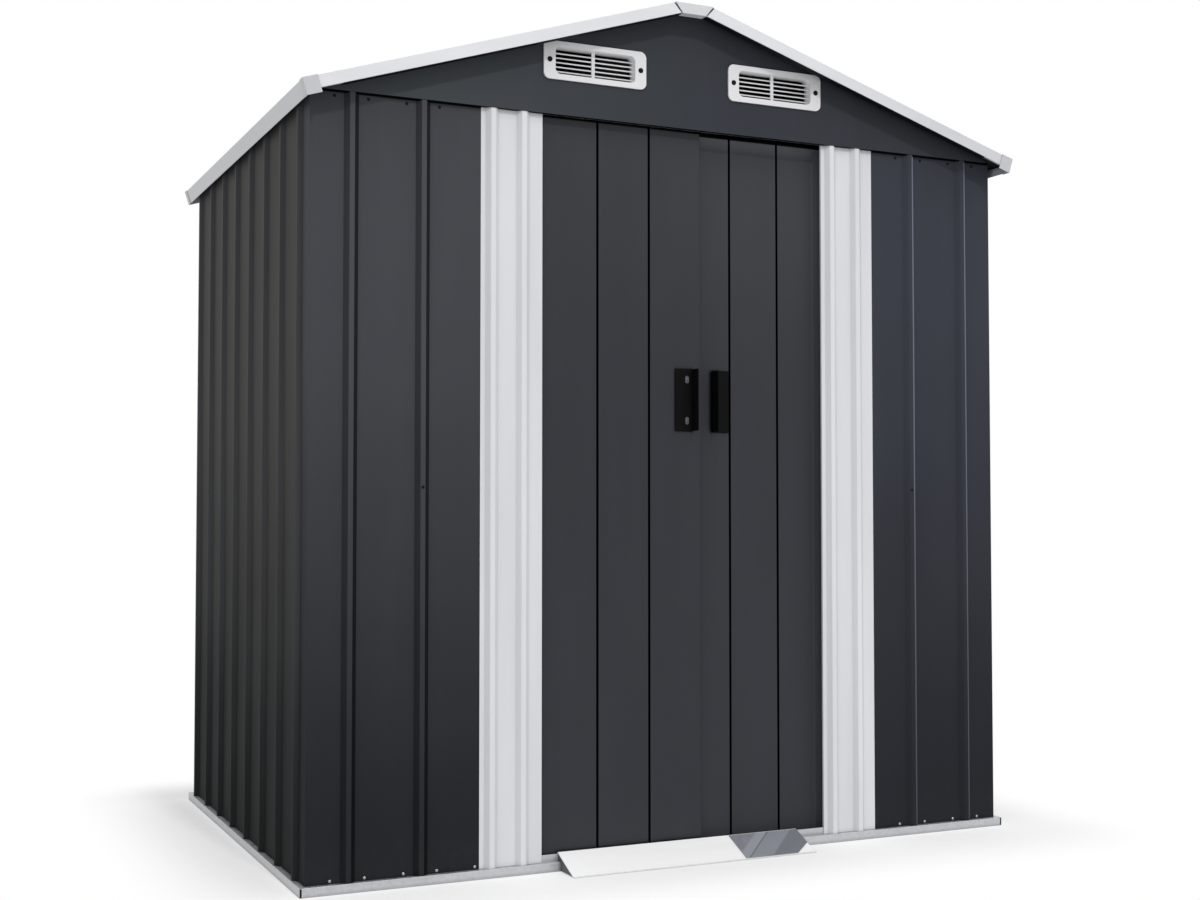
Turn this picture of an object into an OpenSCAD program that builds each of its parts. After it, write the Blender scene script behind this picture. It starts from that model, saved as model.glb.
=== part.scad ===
// Small metal storage shed: ribbed sheet walls on a base frame, a gabled sheet roof with white
// trims, louvred gable vents, two sliding doors on tracks and an entry ramp.

/* [Shed] */
// Width of the shed over the flat faces of the side walls
wall_w = 1809; // [1600:1:2200]
// Depth of the shed over the flat faces of the front and back walls
wall_d = 1222; // [1000:1:1800]
// Height of the wall sheets
wall_h = 1700; // [1500:1:2000]
// Slope of the roof, in degrees
roof_pitch = 17.6; // [15:0.1:24]
// Reach of the roof past the flat faces of the side walls
eave_out = 30.5; // [28:0.5:60]
// Reach of the roof past the flat faces of the front and back walls
rake_out = 60; // [52:1:100]

/* [Wall sheets] */
// Thickness of the wall, gable, door and roof sheets
sheet_t = 1.2; // [0.8:0.1:2]
// Height of a wall rib
rib_h = 10; // [8:1:20]
// Width of a wall rib at its foot
rib_base = 33; // [24:1:40]
// Width of a wall rib at its top
rib_top = 11; // [8:1:20]
// Width of the flat that a front corner sheet turns onto the side wall
corner_return = 53; // [30:1:80]
// Width of the flat that a back corner sheet turns onto the side wall
rear_return = 29; // [24:1:80]
// Distance from the corner to the first rib of the front and back walls
corner_rib = 92; // [60:1:120]
// Distance from rib to rib on the front panels
front_rib_pitch = 163; // [120:1:170]
// Number of ribs on a side wall
side_ribs = 8; // [4:1:12]
// Number of ribs on the back wall
back_ribs = 11; // [7:1:15]

/* [Base frame] */
// Thickness of the rails, tracks and braces
rail_t = 1.5; // [1:0.1:3]
// Height of the rail's ledge, where the wall sheets stand
ledge_h = 20; // [14:1:40]
// Reach of the rail's outer face past the wall sheets
rail_proud = 14; // [10:1:24]
// Height of the rail's upstand over its ledge
upstand_h = 16; // [12:1:30]
// Depth of the rail's bottom flange
rail_flange = 72; // [66:1:100]
// Seam between two rails at a corner
rail_seam = 1.6; // [0.4:0.2:4]

/* [Upper frame] */
// Height of the top rails
top_rail_h = 30; // [20:1:50]
// Depth of the flange on the top rails and braces
brace_flange = 22; // [14:1:30]
// Height of the braces at half height on the walls
brace_z = 870; // [500:1:1200]
// Half width of the ridge beam
ridge_half = 80; // [76:1:110]
// Gap between the ridge beam and the roof sheets on it
ridge_seat = 0.2; // [0.1:0.05:0.4]
// Depth of the ridge beam's legs
ridge_leg = 30; // [16:1:50]

/* [Doorway] */
// Clear width between the door jambs
opening_w = 750; // [640:1:860]
// Distance of the doorway's middle from the middle of the front, to the right
opening_shift = 12; // [-30:1:30]
// Width of a white door jamb
jamb_w = 150; // [120:1:170]
// Distance from a jamb's left edge to its first rib
jamb_rib = 27; // [18:1:32]
// Distance between a jamb's ribs
jamb_rib_pitch = 75; // [50:1:85]
// Depth of the fold at a jamb's edge to the doorway
jamb_fold = 6; // [3:0.5:6]

/* [Doors] */
// Width of a door leaf
leaf_w = 434; // [420:1:480]
// Depth of a door leaf's folded edge
leaf_d = 16; // [12:1:24]
// Clearance from the wall sheets to the front leaf
leaf_clear = 11; // [11:0.5:16]
// Clearance between the two leaves
leaf_pass = 6; // [5:0.5:10]
// Height of the leaves' foot over the ground
leaf_foot = 28; // [28:1:44]
// Rise of the leaves' head over the wall sheets
leaf_rise = 6; // [2:1:8]
// Lap of the left leaf behind its jamb
left_lap = 20; // [10:1:40]
// Lap of the right leaf behind the left one at the meeting edges
leaf_lap = 42; // [20:1:60]
// Width of a pressed groove in a leaf
groove_w = 6; // [4:0.5:10]
// Depth of a pressed groove in a leaf
groove_d = 8; // [5:0.5:10]
// Distance from a leaf's meeting edge to its first groove
groove_first = 136; // [80:1:160]
// Distance between a leaf's grooves
groove_pitch = 134; // [80:1:160]
// Height of the handles' middle over the ground
handle_z = 1075; // [800:1:1300]
// Length of a handle
handle_len = 147; // [90:1:220]
// Width of a handle's screwed plate
handle_plate = 46; // [36:1:60]
// Depth of a handle's fin
handle_fin = 34; // [25:1:60]
// Thickness of a handle
handle_t = 2; // [1.5:0.1:4]
// Distance from the left leaf's meeting edge to its handle
left_handle_in = 21; // [8:1:60]
// Distance from the right leaf's meeting edge to its handle
right_handle_in = 86; // [60:1:120]
// Width of a handle's screw slot
slot_w = 11; // [6:0.5:14]
// Length of a handle's screw slot
slot_len = 19; // [14:0.5:30]
// Distance between a handle's screw slots
slot_gap = 98; // [50:1:120]
// Distance from a handle's corner to the middle of its screw slots
slot_in = 14; // [12:1:24]

/* [Door tracks] */
// Height of the upper track
track_h = 40; // [34:1:60]
// Height of the lower track's guide ribs
guide_h = 20; // [14:1:24]
// Running clearance of the slides
slide_clear = 0.4; // [0.3:0.05:0.8]
// Length of a slide along the track
slide_len = 42; // [20:1:70]
// Distance from a leaf's edge to the middle of a slide
slide_in = 62; // [40:1:110]
// Width of a lower glide across the track
glide_w = 13; // [9:0.5:16]

/* [Ramp] */
// Width of the ramp
ramp_w = 630; // [400:1:700]
// Distance of the ramp's middle from the doorway's middle, to the right
ramp_shift = -19; // [-40:1:40]
// Reach of the ramp past the front wall sheets
ramp_out = 90; // [80:1:140]
// Height of the ramp's head
ramp_h = 37; // [37:1:60]
// Depth of the ramp's hook behind the rail's upstand
ramp_hook = 22; // [16:1:24]
// Width of the flat foot of the ramp
ramp_toe = 7; // [4:1:20]
// Width of the grey plate on the ramp
plate_w = 187; // [80:1:300]
// Inset of the grey plate from the ramp's right end
plate_in = 0.5; // [0.5:0.5:40]
// Margin of the grey plate at the ramp's head and toe
plate_margin = 1; // [0.5:0.5:10]
// Width of the grey plate's cut corner, along its foot
plate_cut_w = 46; // [10:1:80]
// Height of the grey plate's cut corner, up its end
plate_cut_h = 36; // [10:1:60]

/* [Gable vents] */
// Width of a vent
vent_w = 261; // [220:1:320]
// Height of a vent
vent_h = 89; // [76:1:110]
// Height of the vents' middle over the wall sheets
vent_z = 125; // [100:1:160]
// Least room between a vent's rounded upper corner and the roof
vent_margin = 3.5; // [2:0.5:40]
// Distance of the pair of vents from the middle of the front, to the right
vent_shift = 6; // [-30:1:30]
// Thickness of a vent's face
vent_t = 4; // [3:0.5:8]
// Corner radius of a vent
vent_r = 15; // [6:1:25]
// Width of the louvred opening
louvre_w = 203; // [150:1:250]
// Height of the louvred opening
louvre_h = 63; // [40:1:80]
// Corner radius of the louvred opening
louvre_r = 12; // [4:1:16]
// Depth of the louvre box behind the face
louvre_d = 26; // [20:1:40]
// Number of slats
slats = 5; // [3:1:8]
// Thickness of a slat
slat_t = 3; // [1.5:0.1:4]
// Depth of a slat
slat_d = 9; // [6:0.5:12]
// Tilt of the slats, in degrees
slat_tilt = 15; // [5:1:40]
// Width of the bar across the slats
bar_w = 8; // [5:0.5:16]

/* [Roof] */
// Height of a roof rib
roof_rib_h = 10; // [6:1:16]
// Number of ribs on a roof slope
roof_ribs = 9; // [5:1:13]
// Thickness of the trims
trim_t = 1.2; // [0.8:0.1:2.5]
// Depth of the front and back trims
rake_trim_h = 26.7; // [24:0.1:40]
// Depth of the side trims
eave_trim_h = 35.7; // [28:0.1:50]
// Width of the trims' top flange
trim_flange = 40; // [36:1:50]
// Half width of the flat crown along the ridge
crown_half = 50; // [36:1:60]
// Gap between the roof sheets' upper edges and the crown
ridge_room = 8; // [6:1:24]
// Distance from the trims' outer face to the middle of the edge rib
edge_rib = 26; // [20:1:32]
// Half width of the ridge cap, along the slope
ridge_cap_half = 92; // [90:1:140]
// Thickness of the plastic caps
cap_t = 1.4; // [1.2:0.1:3]
// Length of a corner cap along the slope
corner_cap_len = 34; // [33:1:70]
// Width of a corner cap along the eave
corner_cap_w = 26; // [16:1:50]
// Half width of a peak cap at its foot
peak_foot_half = 31; // [20:1:50]
// Depth of a peak cap along the ridge
peak_cap_d = 46; // [30:1:80]

/* [Hidden] */
$fn = 48;

anthracite = "#3f4145";
white = "#dcdddf";
zinc = "#b9bbbe";
grey_zinc = "#6f7279";
black = "#151515";

wall_top = ledge_h + wall_h;
half_w = wall_w / 2;
inner = sheet_t;
rail_top = ledge_h + upstand_h;

opening_x0 = opening_shift - opening_w / 2;
opening_x1 = opening_shift + opening_w / 2;

// The roof is counted down from the top of its trims: trim, rib, sheet
roof_stack = trim_t + roof_rib_h + sheet_t;
under_ridge_z = wall_top + half_w * tan(roof_pitch);
ridge_z = under_ridge_z + roof_stack / cos(roof_pitch);
slope_len = (half_w + eave_out) / cos(roof_pitch);
roof_d = wall_d + 2 * rake_out;
ridge_gap = rake_trim_h * tan(roof_pitch) + trim_t / 2;
// The ridge is flattened to a crown
crown_drop = crown_half * tan(roof_pitch);
crown_z = ridge_z - crown_drop;
under_crown_z = under_ridge_z - crown_drop;

// Doors, measured back from the outer face of the wall sheets
left_y = sheet_t + leaf_clear;
right_y = left_y + leaf_d + leaf_pass;
left_x0 = opening_x0 - left_lap;
right_x0 = left_x0 + leaf_w - leaf_lap;
leaf_head = wall_top + leaf_rise;
left_mid_y = left_y + leaf_d / 2;
right_mid_y = right_y + leaf_d / 2;
track_end_y = right_y + leaf_d + leaf_pass;
track_half = half_w - (track_h + rail_t) / tan(roof_pitch);
track_pass_y = left_y + leaf_d + leaf_pass / 2;

// Gable sheets stand level with the tops of the wall ribs
gable_y = -rib_h - sheet_t;
vent_zc = wall_top + vent_z;
// A rounded corner stands further from the roof than a square one
corner_room = vent_r * (1 + tan(roof_pitch) - 1 / cos(roof_pitch));
vent_xo = (under_ridge_z - vent_zc - vent_h / 2 - vent_margin + corner_room) / tan(roof_pitch);
vent_x = vent_xo - vent_w / 2;

// The shed's box runs from the ramp's toe to the back peak cap
frame_y = -(wall_d + rake_out + cap_t - ramp_out) / 2;

module place() { translate([0, frame_y, 0]) children(); }

// A wall's own frame: x along the wall from its middle, -y outward, the flat faces at y = 0
module on_front() { place() children(); }
module on_back() { place() translate([0, wall_d, 0]) rotate(180) children(); }
module on_left() { place() translate([-half_w, wall_d / 2, 0]) rotate(-90) children(); }
module on_right() { place() translate([half_w, wall_d / 2, 0]) rotate(90) children(); }

// A slope's own frame: x down the slope from the ridge, y along the ridge, z square to the roof
module on_right_slope() { place() translate([0, 0, ridge_z]) rotate([0, roof_pitch, 0]) children(); }
module on_left_slope() {
  place() mirror([1, 0, 0]) translate([0, 0, ridge_z]) rotate([0, roof_pitch, 0]) children();
}
module at_back() { translate([0, wall_d, 0]) mirror([0, 1, 0]) children(); }

// Extrusions: a (y, z) section along x, and a (x, z) section along y
module along_x(x0, x1) { translate([x0, 0, 0]) rotate([90, 0, 90]) linear_extrude(x1 - x0) children(); }
module along_y(y0, y1) { translate([0, y1, 0]) rotate([90, 0, 0]) linear_extrude(y1 - y0) children(); }

// Folded sheet: a path of straight folds, thickened by t to its left with mitred bends
function unit(v) = v / norm(v);
function left_of(v) = [-v[1], v[0]];
function step(p, i) = unit(p[i + 1] - p[i]);
function bend(p, i) =
  let (n = len(p), a = left_of(step(p, max(i - 1, 0))), b = left_of(step(p, min(i, n - 2))))
  (a + b) / (1 + a * b);
function folded(p, t) = concat(p, [for (i = [len(p) - 1 : -1 : 0]) p[i] + t * bend(p, i)]);
module sheet(p, t = sheet_t) { polygon(folded(p, t)); }

// Points of one outward rib, and of a row of them
function rib(x, base, top, h) = [[x - base / 2, 0], [x - top / 2, -h], [x + top / 2, -h], [x + base / 2, 0]];
function ribs(xs) = [for (x = xs) each rib(x, rib_base, rib_top, rib_h)];

module wall_sheet(p) { translate([0, 0, ledge_h]) linear_extrude(wall_h) sheet(p); }

// Everything under the roof sheets and, between them, under the ridge cap
module under_roof() {
  b = half_w + eave_out;
  z = under_ridge_z - b * tan(roof_pitch);
  top = crown_z - trim_t;
  along_y(-rake_out, wall_d + rake_out)
    polygon([[-b, 0], [b, 0], [b, z], [crown_half, under_crown_z], [crown_half, top],
      [-crown_half, top], [-crown_half, under_crown_z], [-b, z]]);
}

// Base rails: bottom flange, outer face, ledge and upstand, mitred at the corners
module base_rail(l) {
  path = [[rail_flange - rail_proud, 0], [-rail_proud, 0], [-rail_proud, ledge_h],
    [inner, ledge_h], [inner, rail_top]];
  h = l / 2 + rail_proud - rail_seam / 2;
  color(zinc) intersection() {
    along_x(-h, h) polygon(folded_rail(path));
    linear_extrude(rail_top)
      polygon([[-h, -rail_proud], [h, -rail_proud], [h - rail_flange, rail_flange - rail_proud],
        [rail_flange - h, rail_flange - rail_proud]]);
  }
}
function folded_rail(p) = folded([for (i = [len(p) - 1 : -1 : 0]) p[i]], rail_t);

module base_rail_front() { on_front() base_rail(wall_w); }
module base_rail_back() { on_back() base_rail(wall_w); }
module base_rail_left() { on_left() base_rail(wall_d); }
module base_rail_right() { on_right() base_rail(wall_d); }

// Lower track: a floor plate on the rail's flange with one guide rib under each leaf
module door_track_bottom() {
  y0 = inner + 3 * rail_t;
  color(zinc) on_front() along_x(-track_half, track_half) {
    translate([y0, rail_t]) square([rail_flange - rail_proud - y0, rail_t]);
    for (y = [left_mid_y, right_mid_y])
      translate([y - rail_t / 2, rail_t]) square([rail_t, guide_h]);
  }
}

// Ramp: a folded sheet hooked behind the rail's upstand, with a flat toe on the ground
ramp_x = opening_shift + ramp_shift;
ramp_path = [[-ramp_out, 0], [ramp_toe - ramp_out, 0], [inner + rail_t, ramp_h],
  [inner + rail_t, ramp_h - ramp_hook]];
ramp_tilt = atan2(ramp_h, inner + rail_t + ramp_out - ramp_toe);
ramp_run = norm(ramp_path[2] - ramp_path[1]);
module ramp() {
  color(white) on_front() along_x(ramp_x - ramp_w / 2, ramp_x + ramp_w / 2) sheet(ramp_path, rail_t);
}
module ramp_plate() {
  color(grey_zinc) on_front()
    translate([ramp_x + ramp_w / 2 - plate_in - plate_w, ramp_toe - ramp_out, 0]) rotate([ramp_tilt, 0, 0])
    translate([0, 0, rail_t]) linear_extrude(rail_t)
    polygon([[0, plate_margin], [plate_w - plate_cut_w, plate_margin],
      [plate_w, plate_margin + plate_cut_h], [plate_w, ramp_run - plate_margin],
      [0, ramp_run - plate_margin]]);
}

// Front wall: ribbed corner panels and white jambs
module front_panel(w) {
  xs = [corner_rib - half_w, corner_rib + front_rib_pitch - half_w];
  p = concat([[-half_w, corner_return], [-half_w, 0]], ribs(xs), [[w - half_w, 0]]);
  intersection() {
    wall_sheet(p);
    under_roof();
  }
}
module front_panel_left() { color(anthracite) on_front() front_panel(half_w + opening_x0 - jamb_w); }
module front_panel_right() {
  color(anthracite) on_front() mirror([1, 0, 0]) front_panel(half_w - opening_x1 - jamb_w);
}
function jamb_ribs(x) = ribs([x + jamb_rib, x + jamb_rib + jamb_rib_pitch]);
// The fold at a jamb's edge stops over the rail's upstand
module fold_notch(x) {
  translate([x - jamb_fold, inner, 0]) cube([2 * jamb_fold, jamb_fold, rail_top + rail_t]);
}
module door_jamb_left() {
  x = opening_x0 - jamb_w;
  color(white) on_front() difference() {
    wall_sheet(concat([[x, 0]], jamb_ribs(x), [[opening_x0, 0], [opening_x0, jamb_fold]]));
    fold_notch(opening_x0);
  }
}
module door_jamb_right() {
  x = opening_x1;
  color(white) on_front() difference() {
    wall_sheet(concat([[x, jamb_fold], [x, 0]], jamb_ribs(x), [[x + jamb_w, 0]]));
    fold_notch(x);
  }
}

// Side walls: a front and a rear sheet, lapped at the foot of a rib
side_pitch = (wall_d - corner_return - rear_return - rib_base) / (side_ribs - 1);
side_half = floor(side_ribs / 2);
function side_x(i) = corner_return + rib_base / 2 + i * side_pitch - wall_d / 2;
side_lap = side_x(side_half - 1) + rib_base / 2;
module side_front() {
  intersection_on_side() wall_sheet(ribs([for (i = [0 : side_half - 1]) side_x(i)]));
}
module side_rear() {
  intersection_on_side()
    wall_sheet(concat([[side_lap, 0]], ribs([for (i = [side_half : side_ribs - 1]) side_x(i)])));
}
// The ribs' upper ends are cut to the slope of the roof
module intersection_on_side() {
  intersection() {
    children();
    translate([0, half_w, 0]) rotate(-90) translate([0, -wall_d / 2, 0]) under_roof();
  }
}
module side_panel_left_front() { color(anthracite) on_left() mirror([1, 0, 0]) side_front(); }
module side_panel_left_rear() { color(anthracite) on_left() mirror([1, 0, 0]) side_rear(); }
module side_panel_right_front() { color(anthracite) on_right() side_front(); }
module side_panel_right_rear() { color(anthracite) on_right() side_rear(); }

// Back wall: three sheets, the outer two turning the corners
back_pitch = (wall_w - 2 * corner_rib) / (back_ribs - 1);
function back_x(i) = corner_rib + i * back_pitch - half_w;
back_split = floor(back_ribs / 3);
function back_lap(i) = back_x(i) + rib_base / 2;
module back_end() {
  wall_sheet(concat([[-half_w, rear_return], [-half_w, 0]], ribs([for (i = [0 : back_split]) back_x(i)])));
}
module back_panel_right() { color(anthracite) on_back() back_end(); }
module back_panel_left() { color(anthracite) on_back() mirror([1, 0, 0]) back_end(); }
module back_panel_middle() {
  i1 = back_ribs - back_split - 2;
  x0 = back_lap(back_split);
  xs = [for (i = [back_split + 1 : i1]) back_x(i)];
  color(anthracite) on_back() wall_sheet(concat([[x0, 0]], ribs(xs), [[-x0, 0]]));
}

// Gables: a plain sheet with a foot flange that lies on the wall sheets
gable_half = half_w - corner_return / 3;
module gable_sheet() {
  intersection() {
    translate([-gable_half, gable_y, wall_top]) cube([2 * gable_half, sheet_t, under_ridge_z]);
    under_roof();
  }
  translate([-gable_half, gable_y, wall_top]) cube([2 * gable_half, rib_h + 2 * sheet_t, sheet_t]);
}
module gable_front() {
  color(anthracite) on_front() difference() {
    gable_sheet();
    for (s = [-1, 1])
      translate([vent_shift + s * vent_x, gable_y + 2 * sheet_t, vent_zc]) rotate([90, 0, 0])
        linear_extrude(3 * sheet_t) louvre_outline(2 * (cap_t + slide_clear));
  }
}
module gable_back() { color(anthracite) on_back() gable_sheet(); }

// Vents: a rounded face with a louvre box through the gable sheet
module rounded(w, h, r) {
  square([w - 2 * r, h], center = true);
  square([w, h - 2 * r], center = true);
  for (x = [-1, 1], y = [-1, 1]) translate([x * (w / 2 - r), y * (h / 2 - r)]) circle(r);
}
module louvre_outline(more) { rounded(louvre_w + more, louvre_h + more, louvre_r + more / 2); }
// Slats deep in the box, with the bar across their outer edges
module louvre() {
  pitch = louvre_h / (slats + 1);
  slat_z = slat_d - louvre_d;
  for (i = [1 : slats])
    translate([0, i * pitch - louvre_h / 2, slat_z]) rotate([slat_tilt, 0, 0])
      cube([louvre_w + 2 * cap_t, slat_t, slat_d], center = true);
  translate([0, 0, slat_z + slat_d / 2]) cube([bar_w, louvre_h + 2 * cap_t, slat_t], center = true);
}
module vent() {
  rotate([90, 0, 0]) {
    linear_extrude(vent_t) difference() {
      rounded(vent_w, vent_h, vent_r);
      louvre_outline(0);
    }
    translate([0, 0, -louvre_d]) linear_extrude(louvre_d) difference() {
      louvre_outline(2 * cap_t);
      louvre_outline(0);
    }
    intersection() {
      louvre();
      translate([0, 0, -louvre_d]) linear_extrude(louvre_d) louvre_outline(cap_t);
    }
  }
}
module vent_left() { color(white) on_front() translate([vent_shift - vent_x, gable_y, vent_zc]) vent(); }
module vent_right() { color(white) on_front() translate([vent_shift + vent_x, gable_y, vent_zc]) vent(); }

// Upper frame: straps beside the doorway, angles round the other walls
strap_end = 4;
module top_rail_front() {
  z = wall_top - top_rail_h;
  color(zinc) on_front() {
    translate([inner - half_w, inner, z]) cube([half_w - inner + opening_x0 - strap_end, rail_t, top_rail_h]);
    translate([opening_x1 + strap_end, inner, z])
      cube([half_w - inner - opening_x1 - strap_end, rail_t, top_rail_h]);
  }
}
module angle_rail(x0, x1, z) {
  along_x(x0, x1) sheet([[inner + brace_flange, z], [inner, z], [inner, z + top_rail_h]], -rail_t);
}
module side_top_rail() {
  y1 = wall_d / 2 - inner;
  angle_rail(rail_t - y1, y1, wall_top - top_rail_h);
}
module top_rail_left() { color(zinc) on_left() mirror([1, 0, 0]) side_top_rail(); }
module top_rail_right() { color(zinc) on_right() side_top_rail(); }
module top_rail_back() {
  x = half_w - inner - brace_flange;
  color(zinc) on_back() angle_rail(-x, x, wall_top - top_rail_h);
}
module side_brace() { angle_rail(inner - wall_d / 2, wall_d / 2 - inner, brace_z); }
module wall_brace_left() { color(zinc) on_left() side_brace(); }
module wall_brace_right() { color(zinc) on_right() side_brace(); }
module wall_brace_back() {
  x = half_w - inner - brace_flange;
  color(zinc) on_back() angle_rail(-x, x, brace_z);
}
module ridge_beam() {
  top = under_crown_z - ridge_seat;
  z = top - (ridge_half - crown_half) * tan(roof_pitch);
  path = [[-ridge_half, z - ridge_leg], [-ridge_half, z], [-crown_half, top], [crown_half, top],
    [ridge_half, z], [ridge_half, z - ridge_leg]];
  color(zinc) place() along_y(gable_y + sheet_t, wall_d - gable_y - sheet_t) sheet(path, -rail_t);
}

// Upper track: a web on the gable's flange, a roof plate and two hanging flanges
flange_drop = 22;
module door_track_top() {
  z1 = wall_top + track_h;
  color(zinc) on_front() along_x(-track_half, track_half) {
    translate([inner, wall_top]) square([rail_t, track_h]);
    translate([inner, z1 - rail_t]) square([track_end_y - inner, rail_t]);
    for (y = [track_pass_y, track_end_y - rail_t / 2])
      translate([y - rail_t / 2, z1 - flange_drop]) square([rail_t, flange_drop]);
  }
}

// Roof: one ribbed sheet a slope, ribs running from ridge to eave
roof_rib_pitch = (roof_d - 2 * edge_rib) / (roof_ribs - 1);
module roof_sheet() {
  y0 = trim_t - rake_out;
  y1 = roof_d - rake_out - trim_t;
  ys = [for (i = [0 : roof_ribs - 1]) edge_rib - rake_out + i * roof_rib_pitch];
  path = concat([[y0, 0]], [for (y = ys) each rib(y, rib_base, rib_top, -roof_rib_h)], [[y1, 0]]);
  x0 = crown_half / cos(roof_pitch) + ridge_room;
  translate([0, 0, -roof_stack]) along_x(x0, slope_len - trim_t) sheet(path, sheet_t);
}
module roof_panel_left() { color(anthracite) on_left_slope() roof_sheet(); }
module roof_panel_right() { color(anthracite) on_right_slope() roof_sheet(); }
module ridge_cap() {
  x = ridge_cap_half * cos(roof_pitch);
  z = ridge_z - ridge_cap_half * sin(roof_pitch);
  color(white) place() along_y(trim_flange - rake_out, wall_d + rake_out - trim_flange)
    sheet([[-x, z], [-crown_half, crown_z], [crown_half, crown_z], [x, z]], -trim_t);
}

// Trims: folded over the roof's edges, level with the ridge cap
rake_lip = 6;
eave_flange = 28;
module rake_trim() {
  path = [[trim_flange - rake_out, 0], [-rake_out, 0], [-rake_out, -rake_trim_h],
    [rake_lip - rake_out, -rake_trim_h]];
  intersection() {
    along_x(ridge_gap, slope_len - eave_flange) sheet(path, trim_t);
    rotate([0, -roof_pitch, 0]) translate([0, -rake_out, -crown_drop - ridge_z])
      cube([wall_w, trim_flange, ridge_z]);
  }
}
module eave_trim() {
  path = [[slope_len - eave_flange, 0], [slope_len, 0], [slope_len, -eave_trim_h]];
  along_y(-rake_out, wall_d + rake_out) sheet(path, -trim_t);
}
module rake_trim_front_left() { color(white) on_left_slope() rake_trim(); }
module rake_trim_front_right() { color(white) on_right_slope() rake_trim(); }
module rake_trim_back_left() { color(white) on_left_slope() at_back() rake_trim(); }
module rake_trim_back_right() { color(white) on_right_slope() at_back() rake_trim(); }
module eave_trim_left() { color(white) on_left_slope() eave_trim(); }
module eave_trim_right() { color(white) on_right_slope() eave_trim(); }

// Caps: three-sided corner caps and keystone caps at the ridge ends
module corner_cap() {
  difference() {
    translate([slope_len + cap_t - corner_cap_len, -rake_out - cap_t, -eave_trim_h - cap_t])
      cube([corner_cap_len, corner_cap_w, eave_trim_h + 2 * cap_t]);
    translate([slope_len - corner_cap_len, -rake_out, -2 * eave_trim_h])
      cube([corner_cap_len, corner_cap_w, 2 * eave_trim_h]);
  }
}
module corner_caps() {
  color(white) {
    on_left_slope() { corner_cap(); at_back() corner_cap(); }
    on_right_slope() { corner_cap(); at_back() corner_cap(); }
  }
}
module peak_cap() {
  z0 = ridge_z - peak_foot_half * tan(roof_pitch) - rake_trim_h / cos(roof_pitch) - cap_t;
  y0 = -rake_out - cap_t;
  along_y(y0, -rake_out)
    polygon([[-crown_half, crown_z + cap_t], [crown_half, crown_z + cap_t],
      [peak_foot_half, z0], [-peak_foot_half, z0]]);
  translate([-crown_half, y0, crown_z]) cube([2 * crown_half, peak_cap_d, cap_t]);
  translate([-peak_foot_half, y0, z0]) cube([2 * peak_foot_half, peak_cap_d / 2, cap_t]);
}
module peak_caps() {
  color(white) place() { peak_cap(); at_back() peak_cap(); }
}

// Doors: a folded tray with pressed grooves, drawn from its meeting edge
function groove(x) =
  let (a = x - groove_w / 2, b = x + groove_w / 2)
  [[a, 0], [a, groove_d], [b, groove_d], [b, 0]];
module leaf() {
  h = leaf_head - leaf_foot;
  path = concat([[0, leaf_d], [0, 0]], groove(groove_first), groove(groove_first + groove_pitch),
    [[leaf_w, 0], [leaf_w, leaf_d]]);
  translate([0, 0, leaf_foot]) {
    linear_extrude(h) sheet(path);
    for (z = [0, h - sheet_t]) translate([0, groove_d, z]) cube([leaf_w, leaf_d - groove_d, sheet_t]);
    for (z = [0, h - sheet_t], x = [[0, groove_first - groove_w / 2],
        [groove_first + groove_w / 2, groove_first + groove_pitch - groove_w / 2],
        [groove_first + groove_pitch + groove_w / 2, leaf_w]])
      translate([x[0], 0, z]) cube([x[1] - x[0], leaf_d, sheet_t]);
  }
}
module on_left_leaf() { on_front() translate([left_x0 + leaf_w, left_y, 0]) mirror([1, 0, 0]) children(); }
module on_right_leaf() { on_front() translate([right_x0, right_y, 0]) children(); }
module door_leaf_left() { color(anthracite) on_left_leaf() leaf(); }
module door_leaf_right() { color(anthracite) on_right_leaf() leaf(); }

// Handles: an angle with a fin to pull and two slots for its screws
module handle() {
  translate([0, 0, handle_z - handle_len / 2]) difference() {
    linear_extrude(handle_len) sheet([[0, -handle_fin], [0, 0], [handle_plate, 0]], -handle_t);
    for (s = [-1, 1])
      translate([slot_in, -2 * handle_t, handle_len / 2 + s * slot_gap / 2])
        rotate([-90, 0, 0]) linear_extrude(3 * handle_t) {
          square([slot_w, slot_len - slot_w], center = true);
          for (e = [-1, 1]) translate([0, e * (slot_len - slot_w) / 2]) circle(slot_w / 2);
        }
  }
}
module door_handle_left() { color(black) on_left_leaf() translate([left_handle_in, 0, 0]) handle(); }
module door_handle_right() { color(black) on_right_leaf() translate([right_handle_in, 0, 0]) handle(); }

// Slides: hangers in the upper track and glides astride the lower track's ribs
module slides(mid_y, y0, y1) {
  head = 10;
  stem = 8;
  z1 = wall_top + track_h - rail_t - slide_clear;
  seat = rail_t + guide_h + slide_clear;
  for (x = [slide_in, leaf_w - slide_in]) {
    along_x(x - slide_len / 2, x + slide_len / 2) {
      translate([mid_y - stem / 2, leaf_head]) square([stem, z1 - leaf_head]);
      translate([y0 + slide_clear, z1 - head]) square([y1 - y0 - 2 * slide_clear, head]);
    }
    along_x(x - slide_len / 2, x + slide_len / 2) difference() {
      translate([mid_y - glide_w / 2, leaf_foot / 2]) square([glide_w, leaf_foot / 2]);
      translate([mid_y - rail_t / 2 - slide_clear, 0]) square([rail_t + 2 * slide_clear, seat]);
    }
  }
}
module door_slides_left() {
  color(black) on_left_leaf()
    slides(leaf_d / 2, inner + rail_t - left_y, track_pass_y - rail_t / 2 - left_y);
}
module door_slides_right() {
  color(black) on_right_leaf()
    slides(leaf_d / 2, track_pass_y + rail_t / 2 - right_y, track_end_y - rail_t - right_y);
}

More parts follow.
